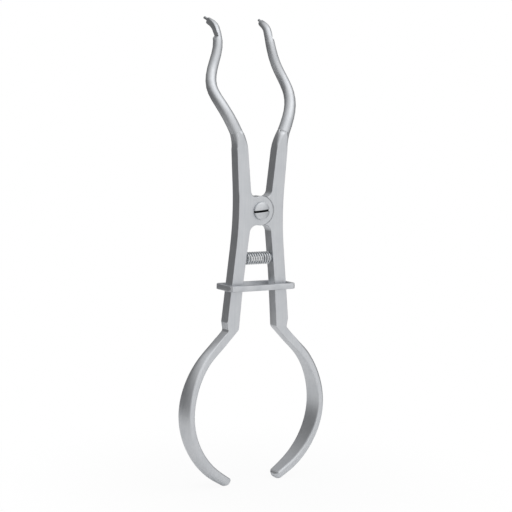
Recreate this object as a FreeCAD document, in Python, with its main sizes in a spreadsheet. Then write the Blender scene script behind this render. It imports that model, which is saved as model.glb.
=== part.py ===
import FreeCAD, Part
import math
import os

import Sketcher

# Rubber dam clamp forceps. Frame in millimetres: the origin is on the hinge axis, in the plane of the
# levers' front faces. +X is right, +Y is back and +Z is up, towards the tips.
# Sizes of a lever are given for the right-hand one, and the left-hand one mirrors them in X = 0.

Vector = FreeCAD.Vector
TURN = 2.0 * math.pi
WIRE_SIDES = 5
FOOT_STEPS = 5
ARM_STEPS = 20
BOW_STEPS = 16
BEND_REACH = 8.0

SIZES = {
    # Flat stretch of each lever, from the elbow up to the round arm
    "lever_depth": 4.4,
    "edge_chamfer": 0.25,
    "foot_corner": 0.3,
    "top_height": 22.0,
    "top_inner": 6.12,
    "top_outer": 10.95,
    "waist_outer": 9.25,
    "waist_height": -2.1,
    "waist_round": 125.0,
    "shank_inner": 6.7,
    "shank_height": -25.0,
    "shank_round": 150.0,
    "elbow_outer": 13.45,
    "elbow_height": -40.4,
    "elbow_round": 1.6,
    "elbow_notch": 0.65,
    "notch_drop": 3.2,
    "notch_round": 1.4,
    "elbow_inner": 8.2,
    "elbow_inner_round": 1.8,
    "bow_angle": 45.0,
    "root_reach": 3.2,
    # Half-lap hinge
    "lug_radius": 5.35,
    "lug_gap": 0.3,
    "lap_gap": 0.05,
    "crotch_inner": 4.3,
    "crotch_top_round": 2.5,
    "crotch_low_round": 3.0,
    # Pivot screw
    "screw_radius": 1.5,
    "screw_fit": 0.04,
    "head_radius": 3.2,
    "head_fit": 0.06,
    "head_sink": 0.6,
    "head_rim": 0.8,
    "head_dome": 0.6,
    "slot_width": 0.8,
    "slot_turn": 5.6,
    "screw_chamfer": 0.3,
    # Round arm: points of its centre line, then its radii
    "arm_root_x": 10.35,
    "arm_root_y": 2.3,
    "arm_root_z": 28.6,
    "arm_flare_x": 15.2,
    "arm_flare_y": 5.6,
    "arm_flare_z": 38.6,
    "arm_crest_x": 16.5,
    "arm_crest_y": 9.4,
    "arm_crest_z": 44.0,
    "arm_waist_x": 13.6,
    "arm_waist_y": 13.2,
    "arm_waist_z": 53.0,
    "arm_neck_x": 11.5,
    "arm_neck_y": 14.2,
    "arm_neck_z": 60.3,
    "arm_knee_x": 11.3,
    "arm_knee_y": 15.9,
    "arm_knee_z": 64.8,
    "arm_end_x": 11.7,
    "arm_end_y": 21.2,
    "arm_end_z": 68.45,
    "arm_root_radius": 2.3,
    "arm_crest_radius": 2.0,
    "arm_neck_radius": 1.75,
    "arm_end_radius": 1.2,
    "arm_end_chamfer": 0.25,
    "foot_inset": 0.04,
    # Flat ground on the outer side of the arm's end, and the peg that goes into the clamp's hole
    "flat_outer": 12.3,
    "flat_height": 62.4,
    "peg_radius": 0.5,
    "peg_length": 2.3,
    "peg_root": 0.6,
    "peg_inset": 0.05,
    "peg_lift": 0.3,
    "peg_chamfer": 0.15,
    # Bow: centre-line points after its root, then depth and thickness there
    "bow_root_thick": 3.1,
    "bow_shoulder_x": 21.25,
    "bow_shoulder_z": -54.1,
    "bow_shoulder_depth": 5.2,
    "bow_shoulder_thick": 3.2,
    "bow_upper_x": 27.04,
    "bow_upper_z": -64.45,
    "bow_upper_depth": 7.6,
    "bow_upper_thick": 3.05,
    "bow_crest_x": 28.55,
    "bow_crest_z": -74.75,
    "bow_crest_depth": 8.6,
    "bow_crest_thick": 2.9,
    "bow_lower_x": 25.6,
    "bow_lower_z": -85.5,
    "bow_lower_depth": 7.9,
    "bow_lower_thick": 3.1,
    "bow_tail_x": 17.0,
    "bow_tail_z": -95.9,
    "bow_tail_depth": 6.7,
    "bow_tail_thick": 3.3,
    "bow_end_x": 10.2,
    "bow_end_z": -100.35,
    "bow_end_depth": 5.6,
    "bow_end_thick": 2.8,
    "bow_inner_round": 0.7,
    "bow_outer_round": 1.4,
    "bow_end_round": 0.6,
    # Spring and the pins that hold it
    "spring_height": -17.5,
    "spring_radius": 2.35,
    "spring_wire": 0.65,
    "spring_turns": 10.5,
    "spring_seat_gap": 0.1,
    "pin_radius": 1.3,
    "pin_reach": 2.6,
    "pin_depth": 3.0,
    "pin_chamfer": 0.3,
    # Locking ring
    "ring_height": -27.8,
    "ring_width": 28.2,
    "ring_depth": 11.5,
    "ring_thick": 2.1,
    "ring_corner": 1.6,
    "ring_wall": 1.6,
    "ring_play": 0.4,
    "slot_corner": 1.2,
    "ring_chamfer": 0.2,
}

doc = FreeCAD.newDocument("forceps")
sheet = doc.addObject("Spreadsheet::Sheet", "Sizes")
for row, (alias, value) in enumerate(SIZES.items(), start=1):
    sheet.set(f"A{row}", alias)
    sheet.set(f"B{row}", str(value))
    sheet.setAlias(f"B{row}", alias)
doc.recompute()


def size(alias):
    """The value of a driving dimension, read from the sheet."""
    return float(sheet.get(alias))


def bind(item, path, rule):
    """Ties a property or a named constraint to the sheet; a name of a size stands for its cell."""
    named = "Sizes." in rule or rule.replace(".", "").isdigit()
    item.setExpression(path, rule if named else "Sizes." + rule)


def base_plane(body, role):
    """The body's own origin plane with that role."""
    for feature in body.Origin.OriginFeatures:
        if feature.Role == role:
            return feature
    raise ValueError(role)


def new_body(label):
    """An empty body that carries the name of its piece."""
    body = doc.addObject("PartDesign::Body", label)
    body.Label = label
    body.Placement = FreeCAD.Placement()
    return body


def new_sketch(body, name, role="XY_Plane", offset=None):
    """A sketch on one of the body's origin planes, moved by an offset in that plane's axes."""
    sketch = body.newObject("Sketcher::SketchObject", name)
    sketch.AttachmentSupport = (base_plane(body, role), [""])
    sketch.MapMode = "FlatFace"
    if offset:
        sketch.AttachmentOffset = offset
    return sketch


def front_plane(depth):
    """Offset that puts a sketch of the XZ plane at this depth behind the front face."""
    return FreeCAD.Placement(Vector(0, 0, -depth), FreeCAD.Rotation())


def facing(point, direction):
    """Placement at a point with its Z axis along a direction, turned the shortest way."""
    return FreeCAD.Placement(point, FreeCAD.Rotation(Vector(0, 0, 1), direction))


class Outline:
    """Draws a closed outline in a sketch, piece after piece, and ties the ends together."""

    def __init__(self, sketch):
        self.sketch = sketch
        self.pieces = []

    def line(self, start, end):
        index = self.sketch.addGeometry(Part.LineSegment(start, end), False)
        self.pieces.append((index, 1, 2))
        return index

    def arc(self, centre, start, via, end):
        def angle(point):
            return math.atan2(point.y - centre.y, point.x - centre.x)

        first, middle, last = angle(start), angle(via), angle(end)
        forward = (middle - first) % TURN < (last - first) % TURN
        low, high = (first, last) if forward else (last, first)
        circle = Part.Circle(centre, Vector(0, 0, 1), (start - centre).Length)
        index = self.sketch.addGeometry(Part.ArcOfCircle(circle, low, high), False)
        self.pieces.append((index, 1, 2) if forward else (index, 2, 1))
        return index

    def path(self, corners):
        """Lines through (point, radius) corners, each rounded by its radius; ends stay sharp."""
        here = corners[0][0]
        rounds = []
        for (before, _), (corner, radius), (after, _) in zip(corners, corners[1:], corners[2:]):
            into = (corner - before).normalize()
            out = (after - corner).normalize()
            if radius == 0:
                self.line(here, corner)
                here = corner
                continue
            half_turn = into.getAngle(out) / 2.0
            reach = radius * math.tan(half_turn)
            start = corner - into * reach
            end = corner + out * reach
            middle = (out - into).normalize()
            centre = corner + middle * (radius / math.cos(half_turn))
            self.line(here, start)
            rounds.append(self.arc(centre, start, centre - middle * radius, end))
            here = end
        self.line(here, corners[-1][0])
        return rounds

    def close(self):
        """Joins each piece's end to the next one's start."""
        for this, following in zip(self.pieces, self.pieces[1:] + self.pieces[:1]):
            tie = Sketcher.Constraint("Coincident", this[0], this[2], following[0], following[1])
            self.sketch.addConstraint(tie)


def named_constraint(sketch, name, rule, *fields):
    """Adds a dimension to a sketch and ties it to the sheet."""
    index = sketch.addConstraint(Sketcher.Constraint(*fields))
    sketch.renameConstraint(index, name)
    bind(sketch, "Constraints." + name, rule)
    return index


def circle_sketch(body, name, rule, centre=Vector(), role="XY_Plane", offset=None):
    """A sketch of one circle, whose radius follows the rule and whose centre stays put."""
    sketch = new_sketch(body, name, role, offset)
    sketch.addGeometry(Part.Circle(centre, Vector(0, 0, 1), 1.0), False)
    sketch.addConstraint(Sketcher.Constraint("DistanceX", -1, 1, 0, 3, centre.x))
    sketch.addConstraint(Sketcher.Constraint("DistanceY", -1, 1, 0, 3, centre.y))
    named_constraint(sketch, "radius", rule, "Radius", 0, 1.0)
    return sketch


def bar_section(sketch, width, thick, low_round, high_round, middle=0.0):
    """A bar's section with four rounded corners, centred on X = 0 with its low face at Y = -middle."""
    low = -middle
    half = width / 2.0
    corners = [
        (Vector(half, low, 0), low_round),
        (Vector(half, low + thick, 0), high_round),
        (Vector(-half, low + thick, 0), high_round),
        (Vector(-half, low, 0), low_round),
    ]
    start = Vector(0, low, 0)
    drawn = Outline(sketch)
    turning = [(start, 0)] + corners + [(start, 0)]
    here = Vector(-half + low_round, low, 0)
    for (before, _), (corner, radius), (after, _) in zip(turning, turning[1:], turning[2:]):
        into = (corner - before).normalize()
        out = (after - corner).normalize()
        centre = corner - into * radius + out * radius
        bulge = (corner - centre).normalize() * radius
        drawn.line(here, corner - into * radius)
        drawn.arc(centre, corner - into * radius, centre + bulge, corner + out * radius)
        here = corner + out * radius
    drawn.close()
    return drawn


def spline_through(points, first, last):
    """A smooth curve through the points that starts and ends in the given directions."""
    curve = Part.BSplineCurve()
    curve.interpolate(Points=points, InitialTangent=first, FinalTangent=last)
    return curve


def shares_of(points, first, last):
    """How far along that curve each point lies, as a share of its length."""
    curve = spline_through(points, first, last)
    start = curve.FirstParameter
    whole = curve.length()
    return [curve.length(start, curve.parameter(point)) / whole for point in points]


def spline_stations(points, first, last, count):
    """(share of length, point, tangent) along a smooth curve, closer together where it bends more."""
    curve = spline_through(points, first, last)
    edge = curve.toShape()
    fine = count * 8
    spots = [edge.getParameterByLength(edge.Length * step / fine) for step in range(fine + 1)]
    travel = [0.0]
    for here, there in zip(spots, spots[1:]):
        bend = curve.tangent(here)[0].getAngle(curve.tangent(there)[0])
        travel.append(travel[-1] + edge.Length / fine + BEND_REACH * bend)
    stations = []
    for step in range(count):
        goal = travel[-1] * step / (count - 1)
        index = min(range(fine + 1), key=lambda spot: abs(travel[spot] - goal))
        where = spots[index]
        stations.append((index / fine, curve.value(where), curve.tangent(where)[0].normalize()))
    return stations


def between(share, marks):
    """A value between (share, value) marks, in a straight run from each to the next."""
    for (low, low_value), (high, high_value) in zip(marks, marks[1:]):
        if share <= high:
            return low_value + (high_value - low_value) * (share - low) / (high - low)
    return marks[-1][1]


def point_of(prefix, side):
    """A centre-line point from three cells, on the lever's own side."""
    return Vector(side * size(prefix + "_x"), size(prefix + "_y"), size(prefix + "_z"))


def edges_where(feature, wanted):
    """Names of the feature's edges that pass a test."""
    return [f"Edge{n}" for n, edge in enumerate(feature.Shape.Edges, start=1) if wanted(edge)]


def round_edges(body, name, base, edges, rule):
    """Rounds the named edges of the last feature."""
    fillet = body.newObject("PartDesign::Fillet", name)
    fillet.Base = (base, edges)
    bind(fillet, "Radius", rule)
    doc.recompute()
    return fillet


def break_edges(body, name, base, edges, rule):
    """Chamfers the named edges of the last feature."""
    chamfer = body.newObject("PartDesign::Chamfer", name)
    chamfer.Base = (base, edges)
    bind(chamfer, "Size", rule)
    doc.recompute()
    return chamfer


def bow_root():
    """Outer and inner corner of the cut where the bow starts, and the bow's direction there."""
    lean = math.radians(size("bow_angle"))
    along = Vector(math.sin(lean), -math.cos(lean), 0)
    across = Vector(math.cos(lean), math.sin(lean), 0)
    notch = Vector(size("elbow_outer") - size("elbow_notch"), size("elbow_height") - size("notch_drop"), 0)
    outer = notch + along * size("root_reach")
    return notch, outer, outer - across * size("bow_root_thick"), along


def lever_outline(body, side):
    """Front outline of a lever's flat stretch with its hinge lug, drawn on the front plane."""
    sketch = new_sketch(body, "FlatOutline", "XZ_Plane")
    lug = size("lug_radius")
    notch, outer, inner, along = bow_root()
    top = size("top_height")
    crotch = Vector(size("crotch_inner"), lug, 0)
    shank = Vector(size("shank_inner"), size("shank_height"), 0)
    elbow_drop = (inner.x - size("elbow_inner")) / along.x
    elbow = inner - along * elbow_drop

    def fillet_to_lug(corner, far, radius):
        """Centre of the round between the lug and the line from corner to far, and its two ends."""
        run = (far - corner).normalize()
        normal = Vector(-run.y, run.x, 0)
        if normal.x > 0:
            normal = normal * -1
        start = corner + normal * radius
        reach = -start.dot(run)
        reach += math.sqrt(start.dot(run) ** 2 - start.Length ** 2 + (lug + radius) ** 2)
        centre = start + run * reach
        return centre, centre - normal * radius, centre * (lug / (lug + radius))

    high = fillet_to_lug(crotch, Vector(size("top_inner"), top, 0), size("crotch_top_round"))
    low_corner = Vector(crotch.x, -crotch.y, 0)
    low = fillet_to_lug(low_corner, shank, size("crotch_low_round"))

    def own(point):
        return Vector(side * point.x, point.y, 0)

    drawn = Outline(sketch)
    corners = [
        (high[1], 0),
        (Vector(size("top_inner"), top, 0), 0),
        (Vector(size("top_outer"), top, 0), 0),
        (Vector(size("waist_outer"), size("waist_height"), 0), size("waist_round")),
        (Vector(size("elbow_outer"), size("elbow_height"), 0), size("elbow_round")),
        (notch, size("notch_round")),
        (outer, 0),
        (inner, 0),
        (elbow, size("elbow_inner_round")),
        (shank, size("shank_round")),
        (low[1], 0),
    ]
    drawn.path([(own(point), radius) for point, radius in corners])
    far_side = Vector(-side * lug, 0, 0)

    def toward_lug(centre, radius):
        return own(centre - centre.normalize() * radius)

    low_middle = (low[1] + low[2]) / 2.0 - low[0]
    low_via = low[0] + low_middle.normalize() * size("crotch_low_round")
    drawn.arc(own(low[0]), own(low[1]), own(low_via), own(low[2]))
    lug_arc = drawn.arc(Vector(), own(low[2]), far_side, own(high[2]))
    high_middle = (high[1] + high[2]) / 2.0 - high[0]
    high_via = high[0] + high_middle.normalize() * size("crotch_top_round")
    drawn.arc(own(high[0]), own(high[2]), own(high_via), own(high[1]))
    drawn.close()
    named_constraint(sketch, "lug_radius", "lug_radius", "Radius", lug_arc, lug)
    return sketch


def add_flat(body, side):
    """The flat stretch: its outline padded through the depth, its long edges broken."""
    pad = body.newObject("PartDesign::Pad", "Flat")
    pad.Profile = lever_outline(body, side)
    pad.Reversed = True
    bind(pad, "Length", "lever_depth")
    doc.recompute()
    _, outer, inner, _ = bow_root()
    root_middle = (outer + inner) / 2.0
    depth = size("lever_depth")

    def long_edge(edge):
        centre = edge.CenterOfMass
        on_face = min(abs(centre.y), abs(centre.y - depth)) < 1e-6
        at_top = abs(centre.z - size("top_height")) < 1e-6
        at_root = math.hypot(abs(centre.x) - root_middle.x, centre.z - root_middle.y) < 1e-6
        return on_face and not at_top and not at_root

    return break_edges(body, "FlatEdges", pad, edges_where(pad, long_edge), "edge_chamfer")


def add_lap(body, lug_in_front):
    """Cuts the half-lap: room for the other lever's lug, then the bore for the screw."""
    depth = size("lever_depth")
    rule = "Sizes.lug_radius + Sizes.lug_gap"
    start = depth if lug_in_front else 0.0
    lap_sketch = circle_sketch(body, "LapOutline", rule, role="XZ_Plane", offset=front_plane(start))
    lap = body.newObject("PartDesign::Pocket", "Lap")
    lap.Profile = lap_sketch
    lap.Reversed = lug_in_front
    bind(lap, "Length", "Sizes.lever_depth / 2 + Sizes.lap_gap / 2")
    bore_rule = "Sizes.screw_radius + Sizes.screw_fit" if lug_in_front else "screw_radius"
    bore_sketch = circle_sketch(body, "BoreOutline", bore_rule, role="XZ_Plane")
    bore = body.newObject("PartDesign::Pocket", "Bore")
    bore.Profile = bore_sketch
    bore.Type = "ThroughAll"
    bore.Midplane = True
    if lug_in_front:
        seat_rule = "Sizes.head_radius + Sizes.head_fit"
        seat_sketch = circle_sketch(body, "HeadSeatOutline", seat_rule, role="XZ_Plane")
        seat = body.newObject("PartDesign::Pocket", "HeadSeat")
        seat.Profile = seat_sketch
        bind(seat, "Length", "head_sink")
    doc.recompute()


def spring_seat_x():
    """Half the gap between the levers' inner faces at the spring's axis."""
    _, _, inner, along = bow_root()
    elbow = inner - along * ((inner.x - size("elbow_inner")) / along.x)
    shank = Vector(size("shank_inner"), size("shank_height"), 0)
    crotch = Vector(size("crotch_inner"), -size("lug_radius"), 0)
    upper = size("spring_height") > size("shank_height")
    high, low = (crotch, shank) if upper else (shank, elbow)
    share = (size("spring_height") - low.y) / (high.y - low.y)
    return low.x + (high.x - low.x) * share


def add_pin_hole(body, side):
    """Blind hole for the spring pin, bored from the lever's inner face."""
    middle = Vector(size("lever_depth") / 2.0, size("spring_height"), 0)
    away = FreeCAD.Placement(Vector(0, 0, side * (spring_seat_x() + size("pin_depth"))), FreeCAD.Rotation())
    hole_sketch = circle_sketch(body, "PinHoleOutline", "pin_radius", middle, "YZ_Plane", away)
    hole = body.newObject("PartDesign::Pocket", "PinHole")
    hole.Profile = hole_sketch
    hole.Reversed = side < 0
    hole.Length = size("pin_depth") + size("pin_reach")
    doc.recompute()


def add_arm(body, side):
    """The arm: the bar's section turns into a round one, and a tapered rod follows its bends."""
    names = ["arm_root", "arm_flare", "arm_crest", "arm_waist", "arm_neck", "arm_knee", "arm_end"]
    points = [point_of(name, side) for name in names]
    last = peg_direction(side)
    depth = size("lever_depth")
    inset = size("foot_inset")
    width = size("top_outer") - size("top_inner")
    foot_x = (size("top_inner") + size("top_outer")) / 2.0
    foot_point = Vector(side * foot_x, depth / 2.0, size("top_height"))
    stations = spline_stations([foot_point] + points, Vector(side * 0.05, 0, 1.0), last, 40)
    nearest = min(stations, key=lambda station: (station[1] - points[0]).Length)
    turning = spline_stations([foot_point, points[0]], Vector(side * 0.05, 0, 1.0), nearest[2], FOOT_STEPS)
    sections = []
    for number, (share, point, tangent) in enumerate(turning):
        place = facing(point, tangent)
        if number == 0:
            place = FreeCAD.Placement(point, FreeCAD.Rotation())
        section = new_sketch(body, f"FootSection{number}", offset=place)
        across = width - inset + (2.0 * size("arm_root_radius") - width + inset) * share
        deep = depth - inset + (2.0 * size("arm_root_radius") - depth + inset) * share
        corner = size("foot_corner") + (0.49 * min(across, deep) - size("foot_corner")) * share
        bar_section(section, across, deep, corner, corner, deep / 2.0)
        sections.append(section)
    foot = body.newObject("PartDesign::AdditiveLoft", "ArmFoot")
    foot.Profile = sections[0]
    foot.Sections = sections[1:]
    foot.Ruled = True
    doc.recompute()
    radii = [
        (0.0, size("arm_root_radius")),
        (0.4, size("arm_crest_radius")),
        (0.78, size("arm_neck_radius")),
        (1.0, size("arm_end_radius")),
    ]
    seam_turn = FreeCAD.Placement(Vector(), FreeCAD.Rotation(Vector(0, 0, 1), 90.0 - 90.0 * side))
    rings = []
    for number, (share, point, tangent) in enumerate(spline_stations(points, turning[-1][2], last, ARM_STEPS)):
        place = facing(point, tangent) * seam_turn
        rings.append(circle_sketch(body, f"ArmSection{number}", str(between(share, radii)), offset=place))
    arm = body.newObject("PartDesign::AdditiveLoft", "Arm")
    arm.Profile = rings[0]
    arm.Sections = rings[1:]
    arm.Ruled = True
    doc.recompute()
    end = points[-1]

    def end_edge(edge):
        return all(
            abs((vertex.Point - end).dot(last)) < 1e-4 and (vertex.Point - end).Length < 3.0
            for vertex in edge.Vertexes
        )

    return break_edges(body, "ArmEndEdge", arm, edges_where(arm, end_edge), "arm_end_chamfer")


def peg_direction(side):
    """Direction in which the peg points, back, up and a little outwards."""
    return Vector(side * 0.1, 0.93, 0.35).normalize()


def add_flat_and_peg(body, side):
    """Grinds the flat on the outer side of the arm's end, and adds the peg."""
    margin = 4.0
    cut_sketch = new_sketch(body, "EndFlatOutline", "XZ_Plane")
    inner = side * size("flat_outer")
    outer = side * (size("flat_outer") + margin)
    low = size("flat_height")
    high = size("arm_end_z") + margin
    drawn = Outline(cut_sketch)
    ring = [Vector(inner, low, 0), Vector(outer, low, 0), Vector(outer, high, 0), Vector(inner, high, 0)]
    for start, end in zip(ring, ring[1:] + ring[:1]):
        drawn.line(start, end)
    drawn.close()
    cut = body.newObject("PartDesign::Pocket", "EndFlat")
    cut.Profile = cut_sketch
    cut.Type = "ThroughAll"
    cut.Midplane = True
    doc.recompute()
    direction = peg_direction(side)
    foot = point_of("arm_end", side)
    foot.x = side * (size("flat_outer") - size("peg_inset") - size("peg_radius"))
    foot += direction.cross(Vector(-1, 0, 0)).normalize() * size("peg_lift")
    start = foot - direction * size("peg_root")
    peg_sketch = circle_sketch(body, "PegOutline", "peg_radius", offset=facing(start, direction))
    peg = body.newObject("PartDesign::Pad", "Peg")
    peg.Profile = peg_sketch
    bind(peg, "Length", "Sizes.peg_length + Sizes.peg_root")
    doc.recompute()
    tip = foot + direction * size("peg_length")

    def tip_edge(edge):
        return (edge.CenterOfMass - tip).Length < 0.05

    return break_edges(body, "PegTip", peg, edges_where(peg, tip_edge), "peg_chamfer")


def add_bow(body, side):
    """The bow: a bar whose section widens, thins and softens along its curve."""
    _, outer, inner, along = bow_root()
    names = ["bow_shoulder", "bow_upper", "bow_crest", "bow_lower", "bow_tail", "bow_end"]
    root = (outer + inner) / 2.0
    points = [Vector(side * root.x, 0, root.y)]
    for name in names:
        points.append(Vector(side * size(name + "_x"), 0, size(name + "_z")))
    start = Vector(side * along.x, 0, along.y)
    finish = (points[-1] - points[-2]).normalize()
    depths = [size("lever_depth")] + [size(name + "_depth") for name in names]
    thicks = [size("bow_root_thick")] + [size(name + "_thick") for name in names]
    shares = shares_of(points, start, finish)
    inner_rounds = [(0.0, size("foot_corner")), (0.25, size("bow_inner_round")), (1.0, size("bow_inner_round"))]
    outer_rounds = [(0.0, size("foot_corner")), (0.4, size("bow_outer_round")), (1.0, size("bow_outer_round"))]
    sections = []
    for number, (share, point, tangent) in enumerate(spline_stations(points, start, finish, BOW_STEPS)):
        depth = between(share, list(zip(shares, depths)))
        thick = between(share, list(zip(shares, thicks)))
        outward = Vector(0, 1, 0).cross(tangent) * -side
        if number == 0:
            outward = Vector(side * (outer - inner).x, 0, (outer - inner).y).normalize()
        turn = FreeCAD.Rotation(Vector(0, 1, 0), outward, Vector(0, 1, 0).cross(outward), "XYZ")
        place = FreeCAD.Placement(point + Vector(0, size("lever_depth") / 2.0, 0), turn)
        section = new_sketch(body, f"BowSection{number}", offset=place)
        high_round = min(between(share, outer_rounds), 0.55 * thick)
        low_round = min(between(share, inner_rounds), 0.35 * thick)
        bar_section(section, depth, thick, low_round, high_round, thick / 2.0)
        sections.append(section)
    bow = body.newObject("PartDesign::AdditiveLoft", "Bow")
    bow.Profile = sections[0]
    bow.Sections = sections[1:]
    bow.Ruled = True
    doc.recompute()
    end = points[-1] + Vector(0, size("lever_depth") / 2.0, 0)

    def end_edge(edge):
        return all(
            abs((vertex.Point - end).dot(finish)) < 1e-3 and (vertex.Point - end).Length < 5.0
            for vertex in edge.Vertexes
        )

    return round_edges(body, "BowEndEdge", bow, edges_where(bow, end_edge), "bow_end_round")


def build_lever(label, side):
    """One lever, in one piece from the peg to the bow; the left one has its lug in front."""
    body = new_body(label)
    add_flat(body, side)
    add_lap(body, side < 0)
    add_pin_hole(body, side)
    add_arm(body, side)
    add_flat_and_peg(body, side)
    add_bow(body, side)
    return body


def build_screw():
    """Pivot screw: a domed slotted head over a plain shank, revolved about the hinge axis."""
    body = new_body("pivot_screw")
    sketch = new_sketch(body, "Profile", "XY_Plane")
    head, shank = size("head_radius"), size("screw_radius")
    under, rim = size("head_sink"), -size("head_rim")
    top = rim - size("head_dome")
    back, chamfer = size("lever_depth"), size("screw_chamfer")
    dome_radius = (head ** 2 + size("head_dome") ** 2) / (2.0 * size("head_dome"))
    dome_centre = Vector(0, top + dome_radius, 0)
    lean = math.asin(head / dome_radius) / 2.0
    via = dome_centre + Vector(math.sin(lean), -math.cos(lean), 0) * dome_radius
    drawn = Outline(sketch)
    drawn.arc(dome_centre, Vector(0, top, 0), via, Vector(head, rim, 0))
    chain = [
        Vector(head, rim, 0),
        Vector(head, under, 0),
        Vector(shank, under, 0),
        Vector(shank, back - chamfer, 0),
        Vector(shank - chamfer, back, 0),
        Vector(0, back, 0),
        Vector(0, top, 0),
    ]
    for start, end in zip(chain, chain[1:]):
        drawn.line(start, end)
    drawn.close()
    turned = body.newObject("PartDesign::Revolution", "Turned")
    turned.Profile = sketch
    turned.ReferenceAxis = (base_plane(body, "Y_Axis"), [""])
    turned.Angle = 360.0
    doc.recompute()
    slot_sketch = new_sketch(body, "SlotOutline", "XZ_Plane")
    slot_sketch.AttachmentOffset = FreeCAD.Placement(
        Vector(), FreeCAD.Rotation(Vector(0, 0, 1), size("slot_turn"))
    )
    half_long, half_wide = head * 1.2, size("slot_width") / 2.0
    slot_drawn = Outline(slot_sketch)
    ring = [
        Vector(-half_long, -half_wide, 0),
        Vector(half_long, -half_wide, 0),
        Vector(half_long, half_wide, 0),
        Vector(-half_long, half_wide, 0),
    ]
    for start, end in zip(ring, ring[1:] + ring[:1]):
        slot_drawn.line(start, end)
    slot_drawn.close()
    slot = body.newObject("PartDesign::Pocket", "Slot")
    slot.Profile = slot_sketch
    bind(slot, "Length", "Sizes.head_rim + Sizes.head_dome + 1")
    slot.Reversed = True
    doc.recompute()
    return body


def build_spring():
    """Compression spring, wound about the line between the two pins."""
    turns = size("spring_turns")
    middle_radius = size("spring_radius") - size("spring_wire") / 2.0
    tilt = math.atan((size("shank_inner") - size("crotch_inner"))
                     / (abs(size("shank_height")) - size("lug_radius")))
    half = spring_seat_x() - size("spring_radius") * math.tan(tilt) - size("spring_seat_gap")
    length = 2.0 * half - size("spring_wire")
    helix = Part.makeHelix(length / turns, length, middle_radius)
    corners = []
    for number in range(WIRE_SIDES + 1):
        angle = TURN * number / WIRE_SIDES
        reach = size("spring_wire") / 2.0
        corners.append(Vector(middle_radius + reach * math.cos(angle), 0, reach * math.sin(angle)))
    coil = Part.Wire(helix).makePipeShell([Part.makePolygon(corners)], True, True)
    spring = doc.addObject("Part::Feature", "spring")
    spring.Label = "spring"
    spring.Shape = coil
    low_end = Vector(-length / 2.0, size("lever_depth") / 2.0, size("spring_height"))
    spring.Placement = FreeCAD.Placement(low_end, FreeCAD.Rotation(Vector(0, 0, 1), Vector(1, 0, 0)))
    return spring


def build_pin(label, side):
    """Pin pressed into a lever's inner face; it keeps the end of the spring in place."""
    body = new_body(label)
    depth = spring_seat_x() + size("pin_depth")
    middle = Vector(size("lever_depth") / 2.0, size("spring_height"), 0)
    away = FreeCAD.Placement(Vector(0, 0, side * depth), FreeCAD.Rotation())
    sketch = circle_sketch(body, "PinOutline", "pin_radius", middle, "YZ_Plane", away)
    pin = body.newObject("PartDesign::Pad", "Pin")
    pin.Profile = sketch
    pin.Reversed = side > 0
    bind(pin, "Length", "Sizes.pin_depth + Sizes.pin_reach")
    doc.recompute()
    tip = side * (spring_seat_x() - size("pin_reach"))

    def tip_edge(edge):
        return abs(edge.CenterOfMass.x - tip) < 1e-6

    break_edges(body, "PinTip", pin, edges_where(pin, tip_edge), "pin_chamfer")
    return body


def shank_outer_x(height):
    """Half width over both levers at a height below the waist."""
    waist = Vector(size("waist_outer"), size("waist_height"), 0)
    elbow = Vector(size("elbow_outer"), size("elbow_height"), 0)
    share = (height - waist.y) / (elbow.y - waist.y)
    return waist.x + (elbow.x - waist.x) * share


def build_ring():
    """Locking ring: a flat oblong link round both levers, its slot a close fit over their width."""
    body = new_body("locking_ring")
    half_thick = size("ring_thick") / 2.0
    lowest = size("ring_height") - half_thick
    slot_half = shank_outer_x(lowest) + size("ring_play")
    middle = Vector(0, size("lever_depth") / 2.0, lowest)
    offset = FreeCAD.Placement(middle, FreeCAD.Rotation())
    sketch = new_sketch(body, "RingOutline", offset=offset)
    width, depth = size("ring_width"), size("ring_depth")
    corner = size("ring_corner")
    bar_section(sketch, width, depth, corner, corner, depth / 2.0)
    inner_depth = depth - 2.0 * size("ring_wall")
    inner_corner = size("slot_corner")
    bar_section(sketch, 2.0 * slot_half, inner_depth, inner_corner, inner_corner, inner_depth / 2.0)
    ring = body.newObject("PartDesign::Pad", "Ring")
    ring.Profile = sketch
    bind(ring, "Length", "ring_thick")
    doc.recompute()
    levels = (lowest, lowest + size("ring_thick"))

    def rim(edge):
        return min(abs(edge.CenterOfMass.z - level) for level in levels) < 1e-6

    break_edges(body, "RingEdges", ring, edges_where(ring, rim), "ring_chamfer")
    return body


pieces = [
    build_lever("left_lever", -1),
    build_lever("right_lever", 1),
    build_screw(),
    build_spring(),
    build_pin("left_spring_pin", -1),
    build_pin("right_spring_pin", 1),
    build_ring(),
]
doc.recompute()

for item in doc.Objects:
    if "Invalid" in item.State or "Error" in item.State:
        raise RuntimeError(f"{item.Label} failed: {item.getStatusString()}")
for piece in pieces:
    shape = piece.Shape
    if shape.isNull() or not shape.isValid() or len(shape.Solids) != 1:
        raise RuntimeError(f"{piece.Label} is not one valid solid")

os.makedirs("parts", exist_ok=True)
for piece in pieces:
    piece.Shape.exportStep(os.path.join("parts", piece.Label + ".step"))
    box = piece.Shape.BoundBox
    print(f"{piece.Label}: {piece.Shape.Volume:.1f} mm3, X {box.XMin:.2f}..{box.XMax:.2f},"
          f" Y {box.YMin:.2f}..{box.YMax:.2f}, Z {box.ZMin:.2f}..{box.ZMax:.2f}")
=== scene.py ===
"""Looks of a rubber dam clamp forceps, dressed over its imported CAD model.

Everything is in metres in the CAD frame: the origin is on the hinge axis in the plane of the levers'
front faces, +X is right, +Y is back and +Z is up towards the tips.
"""

import logging
import math
from dataclasses import dataclass, field
from enum import Enum
from typing import Callable, Iterable, Sequence

import bpy
from mathutils import Matrix, Vector


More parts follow.
